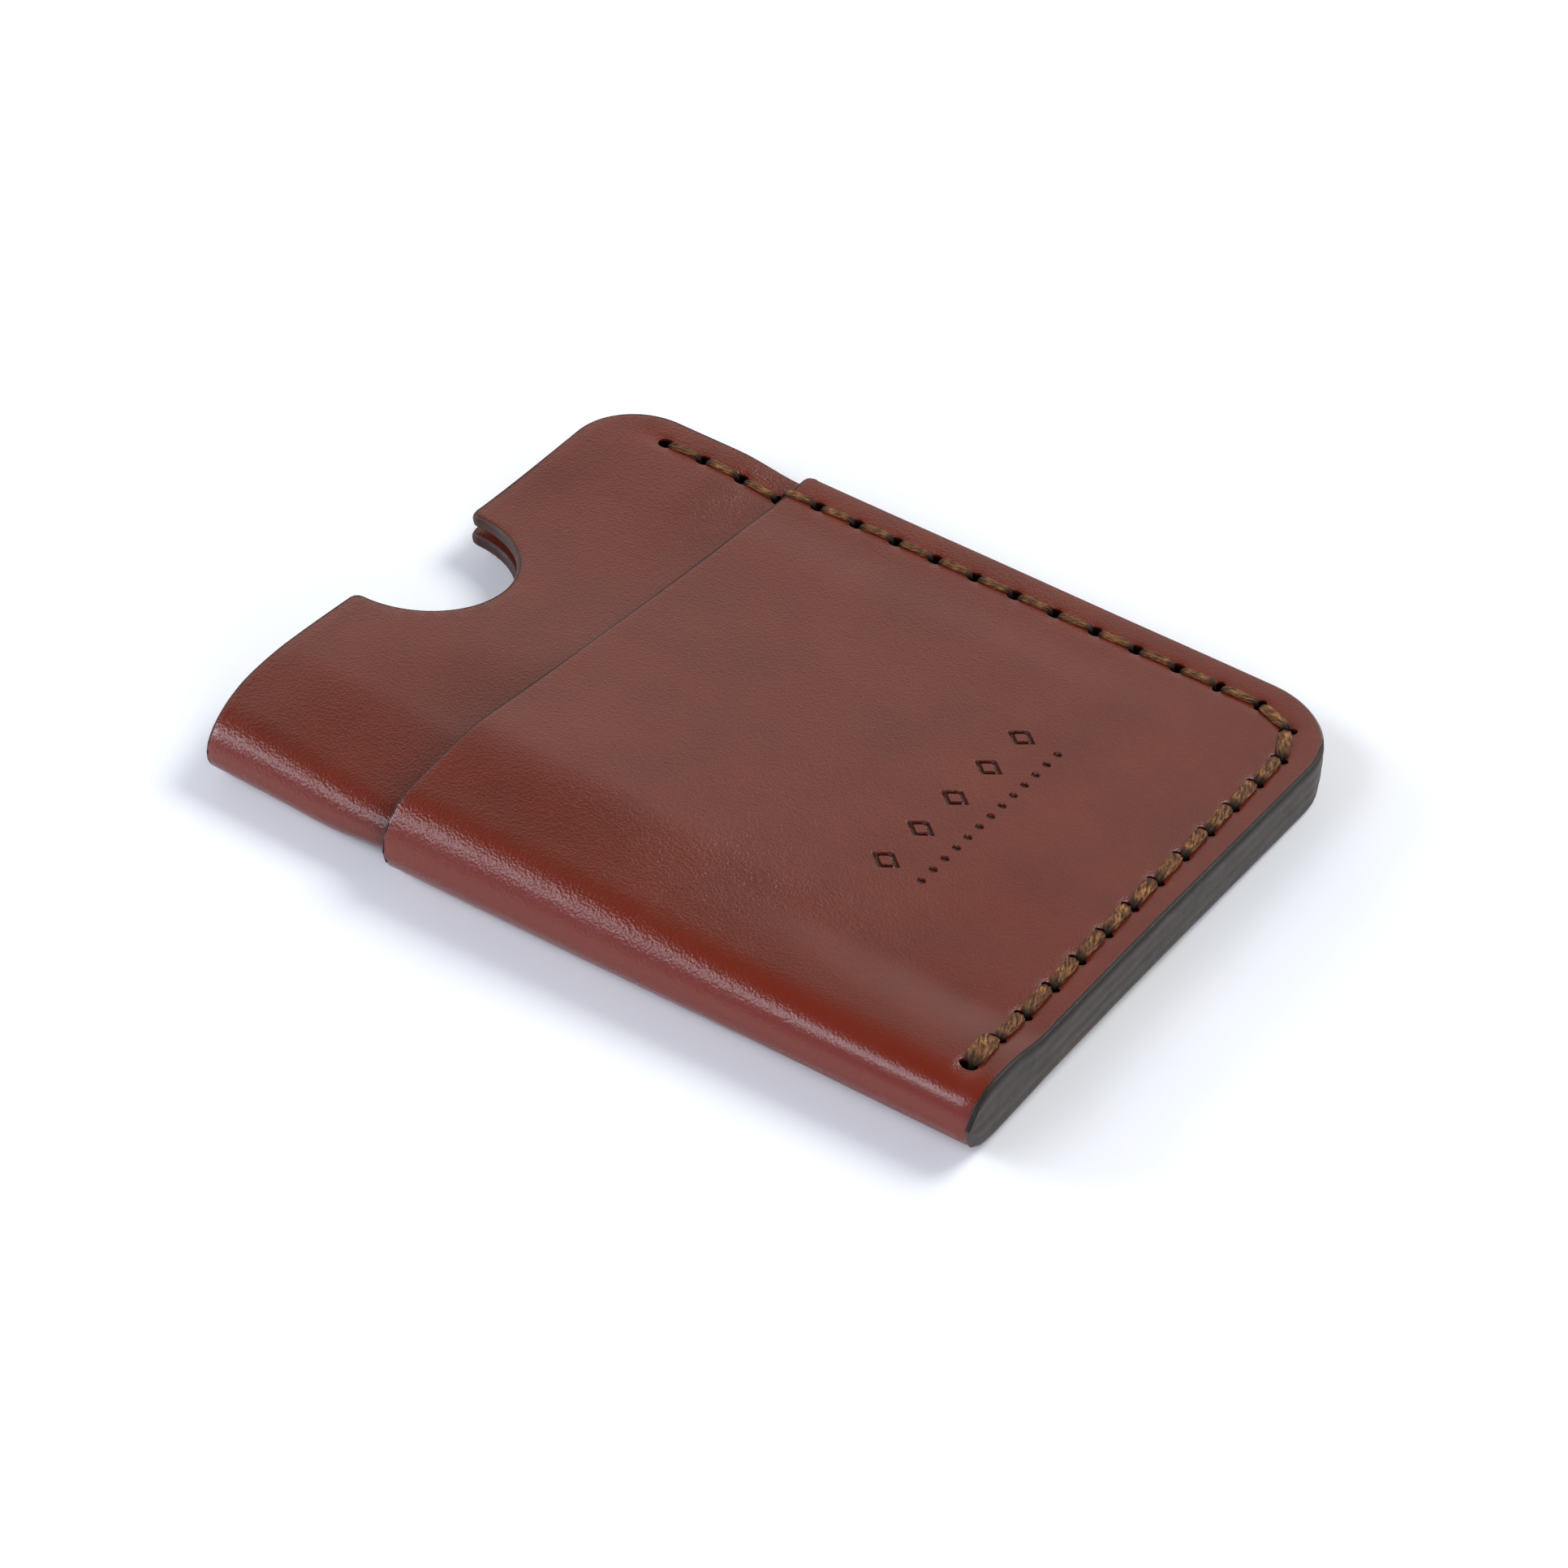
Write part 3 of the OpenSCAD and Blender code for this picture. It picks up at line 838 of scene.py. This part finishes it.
def strand(name, first_face, material):
    """One needle's half of the thread. It lies on the front over every second stitch, and
    goes back over the last stitch to lock it."""
    rows = []
    last = HOLES - 2
    for k in range(HOLES - 1):
        face = first_face if k % 2 == 0 else -first_face
        rows += stitch_controls(k, face, offset=LOCK_OFFSET if k == last else 0)
    rows += stitch_controls(last, -face, offset=LOCK_OFFSET, back=True)
    line = spline(rows, 0.15)
    centre = line[:, :3]
    tangent = unit(np.gradient(centre, axis=0))
    side = unit(line[:, 3:6])
    up = unit(np.cross(tangent, side))
    side = np.cross(up, tangent)
    run = np.concatenate([[0], np.cumsum(np.linalg.norm(np.diff(centre, axis=0), axis=1))])
    a = np.linspace(0, 2 * math.pi, BRAID_SIDES, endpoint=False)[None]
    s = run[:, None] * 2 * math.pi / BRAID_STEP
    one = np.abs(np.cos((BRAID_STRANDS * a + s) / 2))
    two = np.abs(np.cos((BRAID_STRANDS * a - s) / 2 + 0.6))
    weave = np.maximum(one, two) ** 1.5
    swell = 1 + BRAID_DEPTH * (weave - 0.75) * 2
    w = line[:, 6][:, None] * swell
    t = line[:, 7][:, None] * swell
    ca = np.sign(np.cos(a)) * np.abs(np.cos(a)) ** BRAID_SQUARE
    sa = np.sign(np.sin(a)) * np.abs(np.sin(a)) ** BRAID_SQUARE
    rings = (centre[:, None] + side[:, None] * (w * ca)[..., None] + up[:, None] * (t * sa)[..., None])
    points, faces = swept(rings[:, ::-1])
    along = np.repeat(run, BRAID_SIDES)
    around = np.tile(a[0][::-1], len(run))
    return add_mesh(name, points, faces, material, {
        "along": along, "around": around, "weave": weave[:, ::-1].ravel(),
        # sunk: how deep in the hole, which the material paints as shade
        "sunk": np.repeat(line[:, 8], BRAID_SIDES)}, sharp=85)


# ---------------------------------------------------------------- cement

CEMENT_W = 6.4
CEMENT_INSET = 0.35
CEMENT_END_Y = -22


def resample(line, count):
    """The same line with a number of evenly spaced points."""
    run = np.concatenate([[0], np.cumsum(np.linalg.norm(np.diff(line, axis=0), axis=1))])
    at = np.linspace(0, run[-1], count)
    return np.stack([np.interp(at, run, line[:, 0]), np.interp(at, run, line[:, 1])], -1)


def cement(name, d_in, side, outline, material):
    """A film of cement in the sewn margin: under the wrap's front (side 1) or back (side -1), or
    between the sleeve's two walls (side 0), where it starts at the sleeve's mouth."""
    start = outline[:, 0].min() + CEMENT_INSET
    end = HALF_L - CEMENT_INSET
    top = TOP_V - CEMENT_INSET
    last = front_v(CEMENT_END_Y)
    if side == 0:
        corners = [(start, top - MOUTH_R + 1, 0), (start, top, MOUTH_R - 1.1)]
        inner_start = top - CEMENT_W - 0.5
    else:
        corners = [(start, top, 0)]
        inner_start = top - CEMENT_W
    corners += [(end, top, END_R - CEMENT_INSET), (end, last, 0)]
    inner_corners = [(start, inner_start, 0), (end - CEMENT_W, top - CEMENT_W, 2.5),
                     (end - CEMENT_W, last, 0)]
    a = resample(rounded(corners, step=1.2, closed=False), 90)
    b = resample(rounded(inner_corners, step=1.2, closed=False), 90)
    sign = -1 if side < 0 else 1
    rings = np.stack([
        surface(p[:, 0], sign * p[:, 1], d)
        for p, d in ((a, d_in + BOND), (b, d_in + BOND), (b, d_in), (a, d_in))], 1)
    points, faces = swept(rings)
    return add_mesh(name, points, faces, material)


# ---------------------------------------------------------------- materials

class Nodes:
    """A short way to write a node material."""

    def __init__(self, name):
        self.material = bpy.data.materials.new(name)
        self.material.use_nodes = True
        self.tree = self.material.node_tree
        self.tree.nodes.clear()
        self.shader = self.tree.nodes.new("ShaderNodeBsdfPrincipled")
        out = self.tree.nodes.new("ShaderNodeOutputMaterial")
        self.link(self.shader.outputs["BSDF"], out.inputs["Surface"])
        self.place = self.add("ShaderNodeTexCoord").outputs["Object"]

    def add(self, kind, **settings):
        node = self.tree.nodes.new(kind)
        for key, value in settings.items():
            setattr(node, key, value)
        return node

    def link(self, a, b):
        self.tree.links.new(a, b)

    def feed(self, socket, value):
        if isinstance(value, bpy.types.NodeSocket):
            self.link(value, socket)
        else:
            socket.default_value = value

    def math(self, operation, a, b=0.0, clamp=False):
        node = self.add("ShaderNodeMath", operation=operation, use_clamp=clamp)
        self.feed(node.inputs[0], a)
        self.feed(node.inputs[1], b)
        return node.outputs[0]

    def attribute(self, name):
        return self.add("ShaderNodeAttribute", attribute_name=name).outputs["Fac"]

    def vector(self, x, y, z=0.0):
        node = self.add("ShaderNodeCombineXYZ")
        for socket, value in zip(node.inputs, (x, y, z)):
            self.feed(socket, value)
        return node.outputs[0]

    def noise(self, size_mm, detail=3.0, roughness=0.5, vector=None, distortion=0.0):
        """Noise with features of about size_mm."""
        node = self.add("ShaderNodeTexNoise")
        self.link(vector or self.place, node.inputs["Vector"])
        node.inputs["Scale"].default_value = 1 / (size_mm * MM)
        node.inputs["Detail"].default_value = detail
        node.inputs["Roughness"].default_value = roughness
        node.inputs["Distortion"].default_value = distortion
        return node.outputs["Fac"]

    def cells(self, size_mm):
        """Distance from the middle of cells of about size_mm."""
        node = self.add("ShaderNodeTexVoronoi", feature="F1")
        self.link(self.place, node.inputs["Vector"])
        node.inputs["Scale"].default_value = 1 / (size_mm * MM)
        return node.outputs["Distance"]

    def ramp(self, value, *stops):
        """stops are (position, grey level)."""
        node = self.add("ShaderNodeValToRGB")
        self.link(value, node.inputs["Fac"])
        elements = node.color_ramp.elements
        for element, (position, level) in zip(elements, stops):
            element.position = position
            element.color = (level, level, level, 1)
        return node.outputs["Color"]

    def fade(self, value, start, end):
        """1 where value is at start, down to 0 at end."""
        node = self.add("ShaderNodeMapRange", interpolation_type="SMOOTHSTEP")
        self.link(value, node.inputs["Value"])
        node.inputs["From Min"].default_value = start
        node.inputs["From Max"].default_value = end
        node.inputs["To Min"].default_value = 1
        node.inputs["To Max"].default_value = 0
        return node.outputs["Result"]

    def blend(self, share, a, b):
        node = self.add("ShaderNodeMix", data_type="RGBA")
        self.feed(node.inputs["Factor"], share)
        for key, value in (("A", a), ("B", b)):
            socket = [s for s in node.inputs if s.name == key and s.type == "RGBA"][0]
            self.feed(socket, (*value, 1) if isinstance(value, tuple) else value)
        return [s for s in node.outputs if s.type == "RGBA"][0]

    def bump(self, *heights):
        """Stacks bumps, each (height, depth in mm), and feeds the shader's normal."""
        normal = None
        for height, depth in heights:
            node = self.add("ShaderNodeBump")
            node.inputs["Distance"].default_value = depth * MM
            node.inputs["Strength"].default_value = 1
            self.link(height, node.inputs["Height"])
            if normal:
                self.link(normal, node.inputs["Normal"])
            normal = node.outputs["Normal"]
        self.link(normal, self.shader.inputs["Normal"])

    def set(self, **values):
        for key, value in values.items():
            self.feed(self.shader.inputs[key.replace("_", " ")], value)


def leather_material(name, light, dark):
    """Vegetable-tanned leather: fine pebble grain, cloudy dye, darker at its edges and redder beside the
    seam.
    Painted shade darkens it round the holes, in the slit walls and beside the wrap's mouth, and a
    painted tone makes the fold redder for the way light falls on it."""
    m = Nodes(name)
    clouds = m.noise(9, 4, 0.55)
    fibres = m.noise(1.1, 4, 0.6)
    colour = m.blend(m.ramp(clouds, (0.3, 0), (0.7, 1)), dark, light)
    colour = m.blend(m.math("MULTIPLY", m.ramp(fibres, (0.35, 0), (0.75, 1)), 0.22), colour,
                     tuple(c * 0.72 for c in dark))
    pores = m.cells(0.3)
    grain = m.noise(0.26, 2, 0.6)
    colour = m.blend(m.math("MULTIPLY", m.ramp(pores, (0.0, 1), (0.35, 0)), 0.16), colour,
                     tuple(c * 0.5 for c in dark))
    near_seam = m.fade(m.attribute("seam"), 0.5, 2.0)
    near_hole = m.fade(m.attribute("hole"), 0.7, 1.5)
    torn = m.fade(m.attribute("hole"), 0.85, 1.2)
    near_rim = m.fade(m.attribute("rim"), 0.2, 0.9)
    red = (light[0] * 1.2, light[1] * 0.75, light[2] * 0.6)
    raw = (light[0] * 2.2, light[1] * 2.6, light[2] * 2.2)
    colour = m.blend(m.math("MULTIPLY", near_seam, 0.35), colour, red)
    # Painted light: a redder tone, less green and blue, round the fold, for the way light falls on it.
    fold_light_tint = m.fade(m.math("ABSOLUTE", m.math("ADD", m.attribute("turn"), 1)), 2.0, 5.0)
    colour = m.blend(fold_light_tint, colour, (light[0] * 1.1, light[1] * 0.78, light[2] * 0.72))
    # Dark colour for the burnished edges and the pressed stamp, and for painted shade round the holes
    # and beside the wrap's mouth.
    burnish_and_shade = tuple(c * 0.3 for c in dark)
    # Painted shade round the holes.
    colour = m.blend(m.math("MULTIPLY", near_hole, 0.35), colour, burnish_and_shade)
    flecks = m.math("MULTIPLY", torn, m.ramp(m.noise(0.35, 2), (0.52, 0), (0.62, 1)))
    colour = m.blend(m.math("MULTIPLY", flecks, 0.22), colour, raw)
    colour = m.blend(m.math("MULTIPLY", near_rim, 0.3), colour, burnish_and_shade)
    # Painted shade on the sleeve beside the wrap's mouth.
    colour = m.blend(m.math("MULTIPLY", m.attribute("wrap_mouth_shade"), 0.7), colour, burnish_and_shade)
    colour = m.blend(m.math("MULTIPLY", m.attribute("pressed"), 0.82), colour, burnish_and_shade)
    # Painted shade: the slit walls go nearly black towards the inner face.
    wall = m.math("MULTIPLY", m.fade(m.attribute("hole"), 1.1, 1.3),
                  m.fade(m.attribute("depth"), 0.3, 0.05))
    colour = m.blend(wall, colour, tuple(c * 0.08 for c in dark))
    rough = m.math("ADD", 0.21, m.math("MULTIPLY", m.noise(4, 3), 0.1))
    rough = m.math("ADD", rough, m.math("MULTIPLY", m.attribute("pressed"), -0.05))
    m.set(Base_Color=colour, Roughness=rough)
    m.set(IOR=1.49)
    open_grain = m.attribute("grain")
    m.bump((m.math("MULTIPLY", pores, open_grain), 0.038),
           (m.math("MULTIPLY", grain, open_grain), 0.04),
           (m.noise(0.6, 2, 0.5), 0.009), (m.noise(3.5, 2, 0.4), 0.01))
    return m.material


def paint_material(name, deep, pale, ior):
    """Dried edge paint: dark, satin, with faint strokes along the edge and a few scuffs.
    Painted shade darkens its top lip, and turns the back layer's edges deep maroon."""
    m = Nodes(name)
    along = m.attribute("along")
    across = m.attribute("across")
    strokes = m.noise(1000, 4, 0.6, vector=m.vector(m.math("MULTIPLY", along, 0.12), across))
    lumps = m.noise(1.4, 3, 0.5)
    # Painted shade on the top lip of the seam's painted face; every row of the mouth beads lies under
    # this lip, so they are darkened all over.
    top_lip_shade = m.fade(across, 0.35, 1.0)
    colour = m.blend(m.ramp(strokes, (0.3, 0), (0.75, 1)), deep, pale)
    colour = m.blend(m.math("MULTIPLY", top_lip_shade, 0.75), colour, tuple(c * 0.4 for c in deep))
    scuffs = m.math("MULTIPLY", m.ramp(m.noise(0.3, 3), (0.66, 0), (0.72, 1)),
                    m.ramp(m.noise(6, 2), (0.5, 0), (0.6, 1)))
    colour = m.blend(m.math("MULTIPLY", scuffs, 0.5), colour, tuple(c * 3.5 for c in pale))
    # Painted shade: the back layer's painted edges turn deep maroon.
    colour = m.blend(m.math("MULTIPLY", m.attribute("back"), 0.7), colour, (0.03, 0.008, 0.007))
    m.set(Base_Color=colour, Roughness=m.math("ADD", 0.38, m.math("MULTIPLY", lumps, 0.2)))
    m.set(IOR=ior)
    m.bump((strokes, 0.03), (lumps, 0.05), (m.noise(0.2, 2), 0.012))
    return m.material


def thread_material(name):
    """Waxed braided thread: golden and dark brown fibres that run along it, with painted shade in the
    braid's valleys and where it dives into the holes.
    """
    m = Nodes(name)
    weave = m.attribute("weave")
    along = m.attribute("along")
    around = m.attribute("around")
    slanted = m.vector(m.math("MULTIPLY", along, 0.3),
                       m.math("ADD", around, m.math("MULTIPLY", along, 0.6)))
    fibre = m.noise(400, 4, 0.68, vector=slanted, distortion=0.3)
    patches = m.noise(0.9, 3, 0.6)
    colour = m.blend(m.ramp(fibre, (0.38, 0), (0.6, 1)), (0.03, 0.014, 0.008), (0.2, 0.08, 0.027))
    gold = m.math("MULTIPLY", m.ramp(patches, (0.46, 0), (0.66, 1)), m.ramp(fibre, (0.46, 0), (0.6, 1)))
    colour = m.blend(m.math("MULTIPLY", gold, 0.7), colour, (0.5, 0.23, 0.065))
    # Painted shade in the valleys between the braid's strands.
    colour = m.blend(m.math("MULTIPLY", m.ramp(weave, (0.35, 1), (0.8, 0)), 0.45), colour,
                     (0.014, 0.008, 0.007))
    # Painted shade: nearly black where the thread dives into a hole.
    colour = m.blend(m.math("MULTIPLY", m.attribute("sunk"), 0.94), colour, (0.008, 0.005, 0.004))
    m.set(Base_Color=colour, Roughness=m.math("ADD", 0.36, m.math("MULTIPLY", fibre, 0.3)))
    m.set(IOR=1.24)
    m.bump((fibre, 0.09), (weave, 0.05))
    return m.material


def cement_material(name):
    """Dried contact cement: a yellowish, slightly uneven film."""
    m = Nodes(name)
    lumps = m.noise(0.8, 4, 0.6)
    colour = m.blend(m.ramp(lumps, (0.3, 0), (0.7, 1)), (0.16, 0.09, 0.045), (0.32, 0.21, 0.11))
    m.set(Base_Color=colour, Roughness=m.math("ADD", 0.35, m.math("MULTIPLY", lumps, 0.3)))
    m.bump((lumps, 0.03), (m.noise(0.2, 2), 0.01))
    return m.material


# ---------------------------------------------------------------- the object

def build_object():
    sleeve_leather = leather_material("sleeve_leather", (0.130, 0.0206, 0.0092), (0.101, 0.0154, 0.0066))
    wrap_leather = leather_material("wrap_leather", (0.133, 0.0210, 0.0092), (0.104, 0.0159, 0.0068))
    paint = paint_material("edge_paint", (0.032, 0.024, 0.021), (0.062, 0.049, 0.043), 1.28)
    lip_paint = paint_material("mouth_paint", (0.075, 0.03, 0.022), (0.115, 0.058, 0.045), 1.3)
    waxed = thread_material("waxed_thread")
    glue = cement_material("cement")

    sleeve = sleeve_outline()
    wrap = wrap_outline()
    piece = leather("sleeve_of_leather", sleeve, 0, LEATHER, sleeve_leather, False)
    stand_for(piece, "sleeve_leather", "inner_sleeve")
    piece = leather("wrap_of_leather", wrap, WRAP_IN, WRAP_OUT, wrap_leather, True, stamped=True)
    stand_for(piece, "wrap_leather", "outer_wrap")

    seam = seam_coat(paint)
    stand_for(seam, "edge_coat", "edge_coat_seam")

    corners = [(WRAP_MOUTH - 0.05, TOP_V, 0), (-HALF_L, TOP_V, MOUTH_R)]
    corners += notch_corners(1) + notch_corners(-1)
    corners += [(-HALF_L, -TOP_V, MOUTH_R), (WRAP_MOUTH - 0.05, -TOP_V, 0)]
    line = recede(rounded(corners, step=0.6, closed=False))
    piece = bead("edge_paint_sleeve_mouth", line, 0, LEATHER, lip_paint)
    stand_for(piece, "edge_coat", "edge_coat_sleeve_mouth")

    start_x = WRAP_MOUTH + WRAP_CORNER_R + 0.3
    line = rounded([(start_x, TOP_V, 0), (WRAP_MOUTH, TOP_V, WRAP_CORNER_R),
                    (WRAP_MOUTH, -TOP_V, WRAP_CORNER_R), (start_x, -TOP_V, 0)],
                   step=0.6, closed=False)
    piece = bead("edge_paint_wrap_mouth", line, WRAP_IN, WRAP_OUT, lip_paint, slot=True)
    stand_for(piece, "edge_coat", "edge_coat_wrap_mouth")

    for name, face in (("thread_needle_a", 1), ("thread_needle_b", -1)):
        piece = strand("braid_" + name[-1], face, waxed)
        stand_for(piece, "thread", name)

    for name, d, side, outline in (("bond_front", LEATHER, 1, wrap), ("bond_middle", -BOND, 0, sleeve),
                                   ("bond_back", LEATHER, -1, wrap)):
        piece = cement("cement_" + name[5:], d, side, outline, glue)
        stand_for(piece, "cement", name)


# ---------------------------------------------------------------- floor, light and camera

def build_floor():
    m = Nodes("pale_floor")
    m.set(Base_Color=m.blend(m.ramp(m.noise(60, 2), (0.4, 0), (0.6, 1)), (0.86, 0.88, 0.9),
                             (0.9, 0.91, 0.92)), Roughness=0.6)
    size = 3.0
    mesh = bpy.data.meshes.new("floor")
    mesh.from_pydata([(-size, -size, 0), (size, -size, 0), (size, size, 0), (-size, size, 0)], [],
                     [(0, 1, 2, 3)])
    mesh.materials.append(m.material)
    floor = bpy.data.objects.new("floor", mesh)
    bpy.context.scene.collection.objects.link(floor)


def aim(obj, place, target):
    obj.location = place
    obj.rotation_euler = (Vector(target) - Vector(place)).to_track_quat("-Z", "Y").to_euler()


def softbox(name, place, size, power, colour=(1, 1, 1)):
    light = bpy.data.lights.new(name, "AREA")
    light.shape = "RECTANGLE"
    light.size, light.size_y = size
    light.energy = power
    light.color = colour
    obj = bpy.data.objects.new(name, light)
    bpy.context.scene.collection.objects.link(obj)
    aim(obj, place, (0, 0, 0))


def build_world():
    """White walls under a dark ceiling, with a cooler wall in front and a warmer one behind."""
    world = bpy.data.worlds.new("studio")
    world.use_nodes = True
    tree = world.node_tree
    background = tree.nodes["Background"]
    direction = tree.nodes.new("ShaderNodeTexCoord")
    parts = tree.nodes.new("ShaderNodeSeparateXYZ")
    height = tree.nodes.new("ShaderNodeValToRGB")
    tint = tree.nodes.new("ShaderNodeValToRGB")
    depth = tree.nodes.new("ShaderNodeMath")
    product = tree.nodes.new("ShaderNodeVectorMath")
    product.operation = "MULTIPLY"
    depth.operation = "MULTIPLY_ADD"
    depth.inputs[1].default_value = 0.5
    depth.inputs[2].default_value = 0.5
    tree.links.new(direction.outputs["Generated"], parts.inputs["Vector"])
    tree.links.new(parts.outputs["Z"], height.inputs["Fac"])
    tree.links.new(parts.outputs["Y"], depth.inputs[0])
    tree.links.new(depth.outputs[0], tint.inputs["Fac"])
    tree.links.new(height.outputs["Color"], product.inputs[0])
    tree.links.new(tint.outputs["Color"], product.inputs[1])
    tree.links.new(product.outputs[0], background.inputs["Color"])
    for ramp, stops in ((height, ((0.64, (1, 1, 1)), (0.86, (0.05, 0.05, 0.05)))),
                        (tint, ((0.35, (0.60, 0.68, 0.88)), (0.65, (1, 0.96, 0.92))))):
        for element, (position, colour) in zip(ramp.color_ramp.elements, stops):
            element.position = position
            element.color = (*colour, 1)
    background.inputs["Strength"].default_value = 0.78
    bpy.context.scene.world = world


def build_light():
    build_world()
    softbox("back", (0.42, 0.95, 1.2), (0.8, 0.75), 16)
    softbox("front_left", (-0.5, -0.75, 0.8), (0.75, 0.34), 4.8, (0.92, 0.92, 1))
    softbox("left", (-1.15, -0.5, 0.45), (0.6, 0.5), 9, (0.86, 0.93, 1))
    softbox("front_right", (0.9, -0.9, 0.45), (0.6, 0.4), 4.5, (0.92, 0.95, 1))


CAMERA_PLACE = (211.4, -351.9, 340.2)
CAMERA_AZIMUTH = 30.87
CAMERA_ELEVATION = 39.76
CAMERA_ROLL = 4.6
LENS = 119.07


def build_camera():
    data = bpy.data.cameras.new("camera")
    data.lens = LENS
    data.sensor_width = 36
    data.clip_start = 0.01
    data.clip_end = 20
    camera = bpy.data.objects.new("camera", data)
    az, el, roll = (math.radians(a) for a in (CAMERA_AZIMUTH, CAMERA_ELEVATION, CAMERA_ROLL))
    turn = Matrix.Rotation(az, 3, "Z") @ Matrix.Rotation(math.pi / 2 - el, 3, "X")
    turn = turn @ Matrix.Rotation(roll, 3, "Z")
    camera.rotation_euler = turn.to_euler()
    camera.location = Vector(CAMERA_PLACE) * MM
    bpy.context.scene.collection.objects.link(camera)
    bpy.context.scene.camera = camera


build_object()
build_floor()
build_light()
build_camera()
bpy.context.scene.view_settings.view_transform = "Standard"
